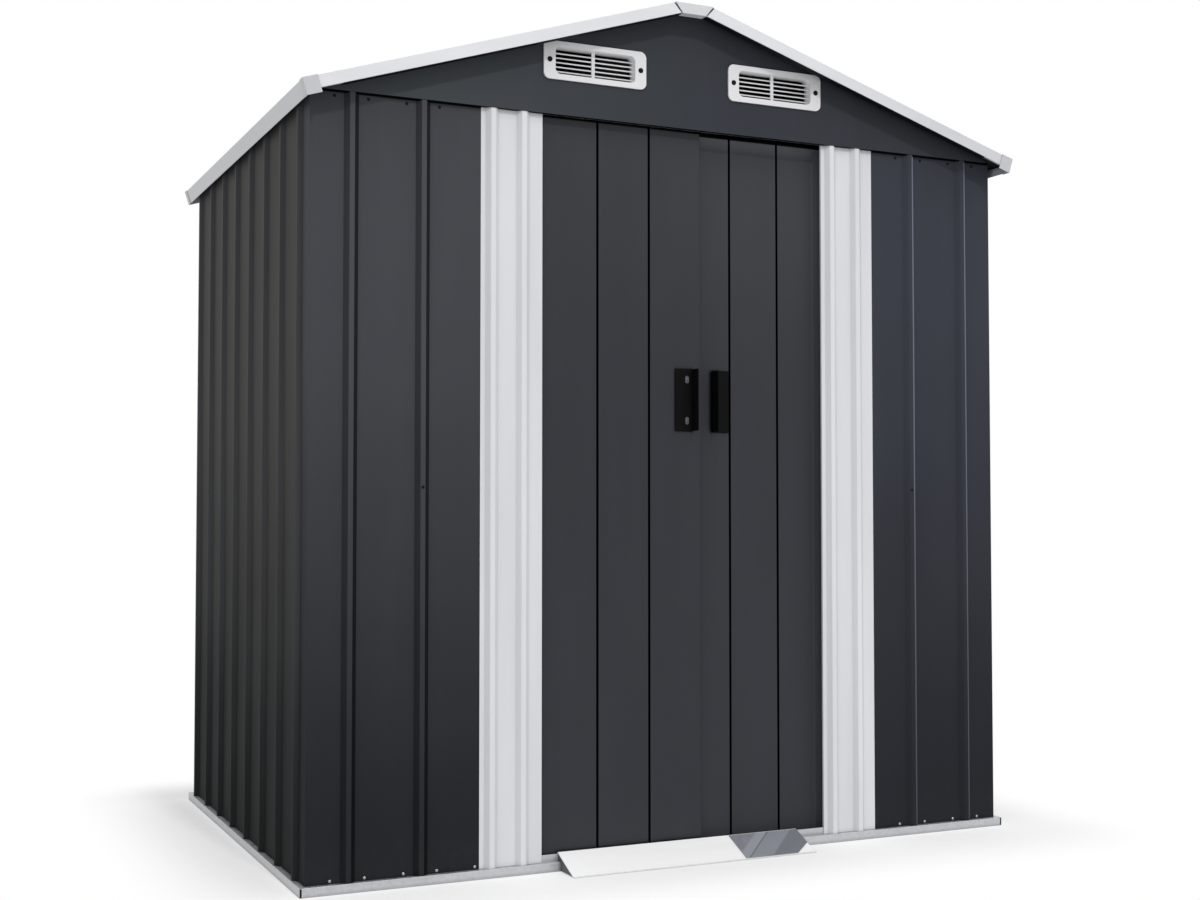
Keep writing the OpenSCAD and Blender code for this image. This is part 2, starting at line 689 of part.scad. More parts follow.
base_rail_front();
base_rail_back();
base_rail_left();
base_rail_right();
door_track_bottom();
ramp();
ramp_plate();
front_panel_left();
front_panel_right();
door_jamb_left();
door_jamb_right();
side_panel_left_front();
side_panel_left_rear();
side_panel_right_front();
side_panel_right_rear();
back_panel_left();
back_panel_middle();
back_panel_right();
gable_front();
gable_back();
vent_left();
vent_right();
top_rail_front();
top_rail_back();
top_rail_left();
top_rail_right();
door_track_top();
wall_brace_left();
wall_brace_right();
wall_brace_back();
ridge_beam();
roof_panel_left();
roof_panel_right();
ridge_cap();
rake_trim_front_left();
rake_trim_front_right();
rake_trim_back_left();
rake_trim_back_right();
eave_trim_left();
eave_trim_right();
corner_caps();
peak_caps();
door_leaf_left();
door_leaf_right();
door_handle_left();
door_handle_right();
door_slides_left();
door_slides_right();
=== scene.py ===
# %% [markdown]
# # A metal storage shed, dressed for a studio picture
#
# The shed arrives as finished solids: folded wall sheets, rails, trims, vents and two sliding
# doors, each in its own place. This lesson gives them their finishes, adds the small fasteners
# that hold such a shed together, and sets up a plain studio. The first cell loads the solids and
# keeps the size of their box, which the camera and the floor use later.

# %% Load the shed
import math
import random

import bmesh
import bpy
from mathutils import Matrix, Vector
from mathutils.bvhtree import BVHTree


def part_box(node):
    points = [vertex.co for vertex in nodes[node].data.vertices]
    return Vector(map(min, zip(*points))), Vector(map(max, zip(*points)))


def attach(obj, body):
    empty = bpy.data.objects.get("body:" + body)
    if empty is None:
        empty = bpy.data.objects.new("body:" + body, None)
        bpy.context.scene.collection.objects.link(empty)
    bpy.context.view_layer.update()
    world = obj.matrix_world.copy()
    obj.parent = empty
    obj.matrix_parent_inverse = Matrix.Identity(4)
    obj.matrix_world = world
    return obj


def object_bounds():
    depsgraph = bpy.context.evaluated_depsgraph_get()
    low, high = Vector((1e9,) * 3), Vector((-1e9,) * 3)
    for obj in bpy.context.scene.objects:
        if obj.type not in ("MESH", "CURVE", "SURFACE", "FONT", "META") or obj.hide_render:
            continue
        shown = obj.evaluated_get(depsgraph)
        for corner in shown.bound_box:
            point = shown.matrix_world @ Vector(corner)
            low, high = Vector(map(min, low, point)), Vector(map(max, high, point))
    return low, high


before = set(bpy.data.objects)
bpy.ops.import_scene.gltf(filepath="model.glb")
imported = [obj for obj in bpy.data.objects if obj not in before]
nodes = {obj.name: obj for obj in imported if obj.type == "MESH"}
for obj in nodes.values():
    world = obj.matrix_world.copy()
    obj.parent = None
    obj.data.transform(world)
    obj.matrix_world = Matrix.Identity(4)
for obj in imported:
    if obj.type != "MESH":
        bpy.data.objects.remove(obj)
cad_low, cad_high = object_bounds()
print("solids loaded:", len(nodes), "box in metres:", [round(v, 3) for v in cad_high - cad_low])

# %% [markdown]
# ## The camera
#
# A photograph fixes where its camera stood: the vanishing lines of the long straight folds and
# rails give the direction and the lens, and the known width of the front gives the distance. The
# camera is set by those few numbers instead of by eye, so that every edge falls where it should.

# %% Set up the camera
camera_place = (-1.7612, -3.9225, 0.8184)
camera_tilt = 2.089
camera_turn = -24.893
camera_lens = 47.622
sensor_width = 36.0

camera_data = bpy.data.cameras.new("studio_camera")
camera_data.lens = camera_lens
camera_data.sensor_width = sensor_width
camera = bpy.data.objects.new("studio_camera", camera_data)
camera.location = camera_place
camera.rotation_euler = (math.radians(90 + camera_tilt), 0, math.radians(camera_turn))
scene = bpy.context.scene
scene.collection.objects.link(camera)
scene.camera = camera
scene.view_settings.view_transform = "Standard"
camera_distance = (Vector(camera_place) - (cad_low + cad_high) / 2).length
print("camera", round(camera_distance, 2), "m from the shed")

# %% [markdown]
# ## Tools for shader nodes
#
# A material is a small network. A few helpers keep the network readable: they add a node and fill
# its sockets, do arithmetic, move a value from one range to another, blend two colours and read a
# colour code. A socket takes either a plain value or the output of another node.


# %% Helpers for node networks
def add(tree, kind, inputs=None, **settings):
    """A shader node with its settings, and its sockets filled with values or other outputs."""
    node = tree.nodes.new("ShaderNode" + kind)
    for key, value in settings.items():
        setattr(node, key, value)
    for key, value in (inputs or {}).items():
        if isinstance(value, bpy.types.NodeSocket):
            tree.links.new(value, node.inputs[key])
        else:
            node.inputs[key].default_value = value
    return node


def calc(tree, operation, a, b=0.0, clamp=False):
    """One step of arithmetic on values that change over the surface."""
    return add(tree, "Math", {0: a, 1: b}, operation=operation, use_clamp=clamp).outputs[0]


def spread(tree, value, low, high, to_low=0.0, to_high=1.0, smooth=False):
    """A value from one range moved to another, held at its ends."""
    kind = "SMOOTHSTEP" if smooth else "LINEAR"
    ends = {"Value": value, "From Min": low, "From Max": high, "To Min": to_low, "To Max": to_high}
    return add(tree, "MapRange", ends, interpolation_type=kind).outputs[0]


def blend(tree, share, a, b):
    """Colour a with this share of colour b laid over it."""
    return add(tree, "Mix", {0: share, 6: a, 7: b}, data_type="RGBA").outputs[2]


def colour(code):
    """A colour from its six-digit web code, as linear light with full cover."""
    parts = [int(code[i:i + 2], 16) / 255 for i in (0, 2, 4)]
    linear = [p / 12.92 if p <= 0.04045 else ((p + 0.055) / 1.055) ** 2.4 for p in parts]
    return (*linear, 1.0)


print("helpers ready; mid grey 808080 is", round(colour("808080")[0], 3), "in linear light")

# %% [markdown]
# ## Effects that several finishes share
#
# Painted sheet, zinc and moulded plastic look different but age in the same ways. Each of these
# effects is a node group with named sockets, built once and placed in every finish that needs it.
# A group only gives out masks, heights and normals; the shader itself stays in the material.


# %% Start a node group
def new_effect(name, inputs, outputs):
    """An empty node group with its sockets, and its first and last node."""
    group = bpy.data.node_groups.new(name, "ShaderNodeTree")
    for label, value in inputs.items():
        kind = "NodeSocketVector" if isinstance(value, tuple) else "NodeSocketFloat"
        socket = group.interface.new_socket(label, in_out="INPUT", socket_type=kind)
        socket.default_value = value
    for label in outputs:
        kind = "NodeSocketVector" if label == "Normal" else "NodeSocketFloat"
        group.interface.new_socket(label, in_out="OUTPUT", socket_type=kind)
    first, last = group.nodes.new("NodeGroupInput"), group.nodes.new("NodeGroupOutput")
    return group, first.outputs, lambda label, value: group.links.new(value, last.inputs[label])


def place_effect(tree, group, inputs):
    """The group as a node of a material, with this material's own values."""
    return add(tree, "Group", inputs, node_tree=group).outputs


def scaled(tree, place, vector):
    """Coordinates or a colour, each of the three parts times its own factor."""
    return add(tree, "VectorMath", {0: place, 1: vector}, operation="MULTIPLY").outputs[0]


def noise(tree, place, size_per_metre=1.0, detail=2.0):
    """Soft random clouds, from 0 to 1, with this many to the metre."""
    inputs = {"Vector": place, "Scale": size_per_metre, "Detail": detail}
    return add(tree, "TexNoise", inputs).outputs[0]


print("groups are built by new_effect and placed by place_effect")

# %% [markdown]
# Thin sheet that has run through forming rolls is never quite flat: long shallow waves follow the
# rolling direction and bend its reflections. A noise stretched along that direction gives both
# the height of the waves and the slight cloudiness of the coating.

# %% Rolled sheet waves
sheet_waves, get, out = new_effect(
    "Rolled sheet waves", {"Place": (0.0, 0.0, 0.0), "Run": (6.0, 6.0, 0.8)}, ["Height", "Cloud"])
wave_place = scaled(sheet_waves, get["Place"], get["Run"])
out("Height", noise(sheet_waves, wave_place, detail=1.0))
out("Cloud", noise(sheet_waves, wave_place, 2.6, detail=4.0))
print(sheet_waves.name, "ready")

# %% [markdown]
# A baked coating and a moulded surface both have a fine grain of about a millimetre. It breaks up
# the highlights without showing as a pattern.

# %% Surface grain
surface_grain, get, out = new_effect(
    "Surface grain", {"Place": (0.0, 0.0, 0.0), "Size": 0.0012}, ["Height", "Fleck"])
grain_scale = calc(surface_grain, "DIVIDE", 1.0, get["Size"])
fleck_scale = calc(surface_grain, "MULTIPLY", grain_scale, 0.07)
out("Height", noise(surface_grain, get["Place"], grain_scale, 1.0))
flecks = noise(surface_grain, get["Place"], fleck_scale, 5.0)
out("Fleck", spread(surface_grain, flecks, 0.56, 0.72))
print(surface_grain.name, "ready")

# %% [markdown]
# The finishes paint shade into the inner corners of folds and under laps: painted shade. The
# ambient occlusion node finds these places by asking how much of the surroundings a point can see
# within a short reach.

# %% Crease shading
crease_shading, get, out = new_effect("Crease shading", {"Reach": 0.012, "Depth": 1.0}, ["Mask"])
seen = add(crease_shading, "AmbientOcclusion", {"Distance": get["Reach"]}, samples=6)
hidden = calc(crease_shading, "SUBTRACT", 1.0, seen.outputs["AO"])
out("Mask", calc(crease_shading, "MULTIPLY", hidden, get["Depth"], clamp=True))
print(crease_shading.name, "ready")

# %% [markdown]
# Sheet is folded over a tool with a small radius, so no fold is sharp. The bevel node rounds the
# normal near an edge: the rounded normal makes the fold catch the light, and its angle to the true
# normal marks a thin line along each fold, which the finishes paint paler: a painted highlight. A
# little noise keeps the line from being even.

# %% Folded edges
fold_highlight, get, out = new_effect(
    "Folded edges", {"Place": (0.0, 0.0, 0.0), "Width": 0.0015, "Depth": 1.0}, ["Mask", "Normal"])
rounded = add(fold_highlight, "Bevel", {"Radius": get["Width"]}, samples=6)
true_normal = add(fold_highlight, "NewGeometry").outputs["Normal"]
both_normals = {0: rounded.outputs[0], 1: true_normal}
agree = add(fold_highlight, "VectorMath", both_normals, operation="DOT_PRODUCT").outputs["Value"]
edge = spread(fold_highlight, calc(fold_highlight, "SUBTRACT", 1.0, agree), 0.01, 0.22)
patchy = spread(fold_highlight, noise(fold_highlight, get["Place"], 14.0, 4.0), 0.3, 0.65, 0.35, 1.0)
# The line along each fold where the finishes paint a highlight, broken up by noise.
highlight_line = calc(fold_highlight, "MULTIPLY", edge, patchy)
out("Mask", calc(fold_highlight, "MULTIPLY", highlight_line, get["Depth"], clamp=True))
out("Normal", rounded.outputs[0])
print(fold_highlight.name, "ready")

# %% [markdown]
# The finishes paint shade on the sloping flanks of the ribs, and on the right front panel a
# highlight on the flanks that look to the right. The flats all face along one of the three axes,
# more or less, so a flank is where the largest part of the normal is clearly less than one. The
# flanks that look to the right, the faces that look down and the faces that look straight to a side
# are lit in their own ways and get their own masks, for their own painted light and shade.

# %% Rib flanks
rib_flanks, get, out = new_effect("Rib flanks", {}, ["Mask", "Right", "Under", "Side"])
flat_normal = add(rib_flanks, "NewGeometry").outputs["True Normal"]
facing = add(rib_flanks, "SeparateXYZ", {0: flat_normal}).outputs
parts = [calc(rib_flanks, "ABSOLUTE", facing[axis]) for axis in "XYZ"]
largest = calc(rib_flanks, "MAXIMUM", calc(rib_flanks, "MAXIMUM", parts[0], parts[1]), parts[2])
out("Mask", spread(rib_flanks, largest, 0.8, 0.93, 1.0, 0.0))
out("Right", spread(rib_flanks, facing["X"], 0.4, 0.6))
out("Under", spread(rib_flanks, facing["Z"], -0.95, -0.7, 1.0, 0.0))
out("Side", spread(rib_flanks, parts[0], 0.93, 0.98))
print(rib_flanks.name, "ready")

# %% [markdown]
# The tops of the ribs stand proud of the wall, and the finishes paint them a little paler: a
# painted highlight. They are the parts outside the box that the wall's flats make.

# %% Proud ribs
rib_height = 0.01
panel_low, panel_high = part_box("front_panel_left")
side_x, back_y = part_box("side_panel_right_front")[1].x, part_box("back_panel_middle")[1].y
flats_high = Vector((side_x - rib_height, back_y - rib_height, 0.0))
flats_low = Vector((-flats_high.x, panel_low.y + rib_height, 0.0))
flats_middle, flats_half = (flats_low + flats_high) / 2, (flats_high - flats_low) / 2
proud_ribs, get, out = new_effect("Proud ribs", {"Place": (0.0, 0.0, 0.0)}, ["Mask"])
offset = get["Place"]
for operation, inputs in (("SUBTRACT", {1: flats_middle}), ("ABSOLUTE", {}),
                          ("SUBTRACT", {1: flats_half})):
    offset = add(proud_ribs, "VectorMath", {0: offset} | inputs, operation=operation).outputs[0]
proud = add(proud_ribs, "SeparateXYZ", {0: offset}).outputs
furthest = calc(proud_ribs, "MAXIMUM", proud["X"], proud["Y"])
out("Mask", spread(proud_ribs, furthest, 0.75 * rib_height, 0.95 * rib_height))
print(proud_ribs.name, "ready; half the flats' box is", [round(v, 3) for v in flats_half])

# %% [markdown]
# Rain throws fine soil against the foot of a wall. The paint is also graded from a darker to a
# paler colour, from the foot to the head or from one side to the other: painted light and shade.
# The soil depends on the height above the ground, the gradient on the distance along any chosen
# direction, and noise roughens both.

# %% Splash, and the painted light gradient
ground_splash, get, out = new_effect(
    "Ground splash", {"Place": (0.0, 0.0, 0.0), "Top": 0.16, "Depth": 1.0}, ["Mask"])
height = add(ground_splash, "SeparateXYZ", {0: get["Place"]}).outputs["Z"]
share_up = calc(ground_splash, "DIVIDE", height, get["Top"])
low_part = spread(ground_splash, share_up, 0.0, 1.0, 1.0, 0.0)
drops = spread(ground_splash, noise(ground_splash, get["Place"], 55.0, 6.0), 0.35, 0.75)
splashed = calc(ground_splash, "MULTIPLY", low_part, drops)
out("Mask", calc(ground_splash, "MULTIPLY", splashed, get["Depth"], clamp=True))

# Painted light and shade: a smooth ramp from 0 to 1 along a direction, between two distances.
light_gradient, get, out = new_effect(
    "Painted light gradient", {"Place": (0.0, 0.0, 0.0), "Along": (0.0, 0.0, 1.0), "Low": 0.1, "High": 1.4},
    ["Mask"])
reach = add(light_gradient, "VectorMath", {0: get["Place"], 1: get["Along"]}, operation="DOT_PRODUCT")
wander = spread(light_gradient, noise(light_gradient, get["Place"], 2.2, 3.0), 0.3, 0.7, -0.08, 0.08)
distance = calc(light_gradient, "ADD", reach.outputs["Value"], wander)
out("Mask", spread(light_gradient, distance, get["Low"], get["High"], smooth=True))
print(ground_splash.name, "and", light_gradient.name, "ready")

# %% [markdown]
# Hot-dip zinc freezes into flat crystals a few millimetres across, each reflecting a little
# differently. A cell pattern with one random tone for each cell is what the eye reads as zinc.

# %% Zinc spangle
zinc_spangle, get, out = new_effect(
    "Zinc spangle", {"Place": (0.0, 0.0, 0.0), "Size": 0.007}, ["Tone", "Streak"])
cell_scale = calc(zinc_spangle, "DIVIDE", 1.0, get["Size"])
cells = add(zinc_spangle, "TexVoronoi", {"Vector": get["Place"], "Scale": cell_scale})
out("Tone", add(zinc_spangle, "SeparateColor", {0: cells.outputs["Color"]}).outputs[0])
streak_place = scaled(zinc_spangle, get["Place"], (9.0, 160.0, 160.0))
out("Streak", noise(zinc_spangle, streak_place, detail=3.0))
print(zinc_spangle.name, "ready")

# %% [markdown]
# ## Painted sheet
#
# Walls, doors, roof and the white strips beside the doorway are coil-coated steel: a thin, even,
# half-gloss paint. One function makes all of them. The wall colour is darker at the foot and paler
# towards the top: painted light and shade. Creases, edges and the foot get their own small masks:
# painted shade in the creases, a painted highlight on the folds and soil at the foot.
#
# Most arguments are factors on the paint, and they paint light and shade: `left` and `right` for
# the flanks of the ribs, `under` for faces that look down, `proud` for the tops of the ribs,
# `fold_light` for the folds, `shade_lift` for what lies beyond the two limits in `lift_limits`, to
# the right and up, and `low_flanks` and `low_returns` for flanks and side faces towards the foot.
# `shadow_line` is the height above which the flats get a painted shadow line in the shade colour. A
# limit of 9 m lies outside the shed and switches its effect off.
#
# The soft lights of this studio do not shade the folds quite as real light does. Some factors,
# such as those of the side sheets, the right front panel and the rear door leaf, make up for that:
# they were found by comparing tones and not by measuring paint.


# %% Painted sheet finishes
def finish(name, roughness, specular):
    """A new material, its node network, its shader and the surface coordinates."""
    material = bpy.data.materials.new(name)
    material.use_nodes = True
    tree = material.node_tree
    shader = tree.nodes["Principled BSDF"]
    shader.inputs["Roughness"].default_value = roughness
    shader.inputs["Specular IOR Level"].default_value = specular
    return material, tree, shader, add(tree, "TexCoord").outputs["Object"]


def bump(tree, shader, normal, heights):
    """Layers of relief on a normal, each as height, strength and depth in metres, to the shader."""
    for height, strength, depth in heights:
        inputs = {"Height": height, "Strength": strength, "Distance": depth, "Normal": normal}
        normal = add(tree, "Bump", inputs).outputs[0]
    tree.links.new(normal, shader.inputs["Normal"])


def grey(tone):
    """One factor for all three parts of a colour."""
    return (tone, tone, tone)


outside = 9.0
shadow_line_edge = 0.001
jamb_ramp = (-0.01, 0.008)
head_ramp = (-0.034, -0.004)
soil_colour = colour("8d8577")


def painted_sheet(name, foot, head, dirt, fold_light=1.35, left=grey(0.58), right=grey(0.25), under=1.0,
                  proud=1.15, shadow_line=outside, along=(0.0, 0.0, 1.0), ends=(0.0, 1.45), roughness=0.6,
                  specular=0.04, run=(6.0, 6.0, 0.8), creases=0.6, splash=0.03, waves=0.3,
                  lift_limits=(outside, outside), shade_lift=1.0, low_flanks=1.0, low_returns=1.0):
    """Coil-coated sheet from its colours at foot and head, with factors that paint light and shade.
    """
    material, tree, shader, place = finish(name, roughness, specular)
    wave = place_effect(tree, sheet_waves, {"Place": place, "Run": run})
    grain = place_effect(tree, surface_grain, {"Place": place, "Size": 0.0011})
    gradient_inputs = {"Place": place, "Along": along, "Low": ends[0], "High": ends[1]}
    painted_gradient = place_effect(tree, light_gradient, gradient_inputs)["Mask"]
    shade_mask = place_effect(tree, crease_shading, {"Reach": 0.011, "Depth": creases})["Mask"]
    fold = place_effect(tree, fold_highlight, {"Place": place, "Width": 0.0018, "Depth": 1.0})
    soil = place_effect(tree, ground_splash, {"Place": place, "Top": 0.12, "Depth": splash})["Mask"]
    flanks = place_effect(tree, rib_flanks, {})
    tops = place_effect(tree, proud_ribs, {"Place": place})["Mask"]
    # Painted light and shade: the foot colour graded into the head colour.
    paint = blend(tree, painted_gradient, colour(foot), colour(head))
    cloud = spread(tree, wave["Cloud"], 0.25, 0.75, 0.95, 1.05)
    paint = add(tree, "VectorMath", {0: paint, "Scale": cloud}, operation="SCALE").outputs[0]
    # Painted light and shade on rib flanks, low side faces, faces that look down and rib tops.
    flank_tone = blend(tree, flanks["Right"], left + (1.0,), right + (1.0,))
    flank_tone = scaled(tree, flank_tone, spread(tree, painted_gradient, 0.0, 1.0, low_flanks, 1.0))
    low = calc(tree, "MULTIPLY", flanks["Side"], spread(tree, painted_gradient, 0.0, 1.0, 1.0, 0.0))
    paint = blend(tree, low, paint, scaled(tree, paint, grey(low_returns)))
    paint = blend(tree, flanks["Mask"], paint, scaled(tree, paint, flank_tone))
    paint = blend(tree, flanks["Under"], paint, scaled(tree, paint, grey(under)))
    paint = blend(tree, tops, paint, scaled(tree, paint, grey(proud)))
    # Painted light: beyond the limits, to the right and up, the paint is made paler against the
    # shade.
    across, _, height = add(tree, "SeparateXYZ", {0: place}).outputs
    aside = spread(tree, across, *[lift_limits[0] + step for step in jamb_ramp])
    above = spread(tree, height, *[lift_limits[1] + step for step in head_ramp])
    lifted_zone = calc(tree, "MAXIMUM", aside, above)
    paint = blend(tree, lifted_zone, paint, scaled(tree, paint, grey(shade_lift)))
    # Painted shadow: a dark line on the flats above the given height, and painted shade in creases.
    above_shadow_line = spread(tree, height, shadow_line - shadow_line_edge, shadow_line + shadow_line_edge)
    painted_shadow_line = calc(tree, "SUBTRACT", above_shadow_line, tops, clamp=True)
    paint = blend(tree, calc(tree, "MAXIMUM", shade_mask, painted_shadow_line), paint, colour(dirt))
    # Painted highlight: the folds are painted paler.
    paint = blend(tree, fold["Mask"], paint, scaled(tree, paint, grey(fold_light)))
    paint = blend(tree, soil, paint, soil_colour)
    tree.links.new(paint, shader.inputs["Base Color"])
    rough = spread(tree, wave["Cloud"], 0.2, 0.8, roughness - 0.05, roughness + 0.05)
    rough = calc(tree, "ADD", rough, calc(tree, "MULTIPLY", soil, 0.3), clamp=True)
    tree.links.new(rough, shader.inputs["Roughness"])
    relief = [(wave["Height"], waves, 0.004), (grain["Height"], 0.08, 0.0004)]
    bump(tree, shader, fold["Normal"], relief)
    return material


# The painted shadow line on the flats starts this far under the top of the wall sheets.
gable_shadow_drop = 0.0035
under_gable = panel_high.z - gable_shadow_drop
# The rear door leaf is painted paler beyond the right jamb's edge: painted light.
jamb_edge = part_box("door_jamb_right")[0].x
level = (-1.0, 0.0, 0.0)
# White strips: darker flanks, paler rib tops; trims: darker creases. All painted light and shade.
white = {"left": grey(0.92), "right": grey(0.92), "proud": 1.04, "roughness": 0.4, "specular": 0.3,
         "splash": 0.02, "waves": 0.12}
trim = white | {"left": grey(1.0), "right": grey(1.0), "proud": 1.0, "creases": 1.2, "splash": 0.0}
# Paints whose foot and head colours differ are graded dark to pale: painted light and shade.
# The wall paint also darkens the side faces near the foot: painted shade.
wall_paint = painted_sheet("Anthracite wall paint", "26282b", "494a4f", "060607", shadow_line=under_gable,
                           low_returns=0.5)
# A copy for the right front panel, with its own painted shade and bright right flanks, a highlight.
right_panel_paint = painted_sheet("Anthracite wall paint, right panel with painted light", "292a2f", "3e4149", "060607",
                           left=grey(1.05), right=grey(4.2), proud=1.0, shadow_line=under_gable)
# The side sheets' copy paints light and shade on its flanks: bluer, and much paler near the foot.
side_flank = (0.9, 0.89, 1.02)
side_paint = painted_sheet("Anthracite side paint", "131514", "454644", "0b0c0d", 1.2, side_flank,
                           side_flank, proud=1.08, low_flanks=2.7)
# The gables' copy is darker, graded side to side, and nearly black facing down: painted shade.
gable_paint = painted_sheet("Anthracite gable paint", "3b3e44", "484c50", "08090a", proud=1.0,
                            under=0.1, along=level, ends=(-0.15, 0.7))
# Doors: strong painted shade in grooves and creases; the rear leaf's copy is painted paler.
door = {"proud": 1.0, "shadow_line": under_gable, "ends": (1.0, 1.75), "creases": 3.0}
door_paint = painted_sheet("Anthracite door paint", "3b3c41", "424347", "020203", 1.15, **door)
rear_door_paint = painted_sheet("Anthracite door paint, rear leaf", "3d3e43", "46474b", "020203",
                                1.15, lift_limits=(jamb_edge, under_gable), shade_lift=2.2, **door)
# The roof's flanks and the faces that look down are painted darker: painted shade.
roof_paint = painted_sheet("Anthracite roof paint", "3a3b3f", "3f4045", "0b0c0d", left=grey(0.8),
                           right=grey(0.8), proud=1.0, under=0.25, run=(0.9, 6.0, 0.9))
white_paint = painted_sheet("White strip paint", "e0e1e5", "e0e1e5", "adaeb2", 1.25, **white)
trim_paint = painted_sheet("White trim paint", "d6d7da", "e6e7ea", "9b9ca0", 1.05, along=level,
                           ends=(-0.95, -0.05), run=(0.8, 0.8, 6.0), **trim)
# The eave trims get a darker copy of the trim paint: painted shade.
eave_paint = painted_sheet("White trim paint, eaves", "cfd0d4", "cfd0d4", "8f9094", 1.1,
                           run=(0.8, 0.8, 6.0), **trim)
ramp_paint = painted_sheet("Pale ramp coating", "fdfdfd", "fdfdfd", "c4c5c7", 1.0,
                           run=(0.8, 6.0, 6.0), **trim)
print("painted finishes:", [m.name for m in bpy.data.materials if "paint" in m.name])

# %% [markdown]
# ## Zinc
#
# The base rails, tracks, braces and screws are bare galvanised steel. It is a metal, so its
# colour is in its reflections, and the spangle varies both the tone and the gloss from crystal
# to crystal. The creases get painted shade and the folds a painted highlight. The small grey plate
# on the ramp, with its broad slanting bands and one dark line between two of them, is a painted
# reflection of the dark doors in the ramp's metal. The bands are counted from the plate's left
# corner, along its width and back up the slope.


# %% Galvanised finishes
band_slant = 1.15
band_cover = 0.75
reflection_bands = [(-0.024, 0.006, "a6a9b2"), (0.008, 0.001, "4c4f56"), (0.0115, 0.001, "a2a5ae"),
               (0.073, 0.004, "767981")]
# Painted shade for the zinc's creases and a painted highlight for its folds.
crease_shade_grey, edge_highlight_grey = colour("4b4c4e"), colour("e4e5e8")


def painted_reflection_bands(tree, place, corner, metal):
    """Painted reflection: bands, each from its distance along the plate's foot, softness and tone.
    """
    offset = add(tree, "VectorMath", {0: place, 1: corner}, operation="SUBTRACT").outputs[0]
    along = add(tree, "SeparateXYZ", {0: offset}).outputs
    back = calc(tree, "MULTIPLY", along["Y"], band_slant)
    across = calc(tree, "SUBTRACT", along["X"], back)
    for start, soft, tone in reflection_bands:
        share = spread(tree, across, start - soft, start + soft, 0.0, band_cover, smooth=True)
        metal = blend(tree, share, metal, colour(tone))
    return metal


def galvanised(name, dark, pale, roughness, size=0.007, metallic=0.85, bands=None):
    """Zinc-coated steel between two tones, with painted reflection bands where a plate is named."""
    material, tree, shader, place = finish(name, roughness, 0.5)
    shader.inputs["Metallic"].default_value = metallic
    zinc = place_effect(tree, zinc_spangle, {"Place": place, "Size": size})
    grain = place_effect(tree, surface_grain, {"Place": place, "Size": 0.0009})
    shade_mask = place_effect(tree, crease_shading, {"Reach": 0.01, "Depth": 0.8})["Mask"]
    fold = place_effect(tree, fold_highlight, {"Place": place, "Width": 0.0012, "Depth": 0.35})
    metal = blend(tree, zinc["Tone"], colour(dark), colour(pale))
    metal = blend(tree, calc(tree, "MULTIPLY", zinc["Streak"], 0.25), metal, colour(dark))
    if bands:
        metal = painted_reflection_bands(tree, place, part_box(bands)[0], metal)
    metal = blend(tree, shade_mask, metal, crease_shade_grey)
    metal = blend(tree, fold["Mask"], metal, edge_highlight_grey)
    tree.links.new(metal, shader.inputs["Base Color"])
    rough = spread(tree, zinc["Tone"], 0.0, 1.0, roughness - 0.06, roughness + 0.08)
    tree.links.new(rough, shader.inputs["Roughness"])
    relief = [(zinc["Tone"], 0.06, 0.0004), (grain["Height"], 0.08, 0.0003)]
    bump(tree, shader, fold["Normal"], relief)
    return material


zinc_rail = galvanised("Galvanised rail", "bebfc2", "c9cacd", 0.48)
# The ramp's grey plate: its tone and its bands are a painted reflection of the dark doors.
plate_reflection_paint = galvanised("Grey zinc plate", "878a93", "92959e", 0.5, 0.011, 0.3, "ramp_plate")
zinc_screw = galvanised("Zinc-plated screw", "a9aaae", "c9cace", 0.32, 0.003)
dull_zinc_and_shadow = galvanised("Dull zinc", "5f6064", "727377", 0.55, 0.005, 0.4)
print("galvanised finishes:", zinc_rail.name, plate_reflection_paint.name, zinc_screw.name, dull_zinc_and_shadow.name)

# %% [markdown]
# ## Moulded plastic
#
# The vents, caps and slides are injection moulded. Such plastic has a fine spark-eroded grain and
# one even colour; the finishes add painted shade in its creases and a painted highlight on its
# edges. The powder coat of the handles, the paint of screw heads and the dark sealant and shadow
# strips have the same kind of grain, so the same function makes them.


# %% Moulded finishes
def moulded(name, body, crease, edge, roughness, grain_depth=0.12, creases=0.8, specular=0.3):
    """Plastic or a thick coat from its body colour, its painted crease colour and edge highlight.
    """
    material, tree, shader, place = finish(name, roughness, specular)
    grain = place_effect(tree, surface_grain, {"Place": place, "Size": 0.0008})
    shade_mask = place_effect(tree, crease_shading, {"Reach": 0.01, "Depth": creases})["Mask"]
    fold = place_effect(tree, fold_highlight, {"Place": place, "Width": 0.0012, "Depth": 0.4})
    plastic = blend(tree, calc(tree, "MULTIPLY", grain["Fleck"], 0.3), colour(body), colour(edge))
    plastic = blend(tree, shade_mask, plastic, colour(crease))
    plastic = blend(tree, fold["Mask"], plastic, colour(edge))
    tree.links.new(plastic, shader.inputs["Base Color"])
    rough = spread(tree, grain["Height"], 0.2, 0.8, roughness - 0.06, roughness + 0.06)
    tree.links.new(rough, shader.inputs["Roughness"])
    bump(tree, shader, fold["Normal"], [(grain["Height"], grain_depth, 0.0004)])
    return material


# The vents' creases are painted paler than the body: painted light against the shade in the box.
vent_plastic = moulded("White vent plastic", "ebebed", "fafafa", "f4f4f5", 0.45, creases=1.0)
# Darker crease colours on the caps, coats and screw paints below are painted shade.
cap_plastic = moulded("White cap plastic", "dadbde", "9a9b9f", "e6e7e9", 0.42)
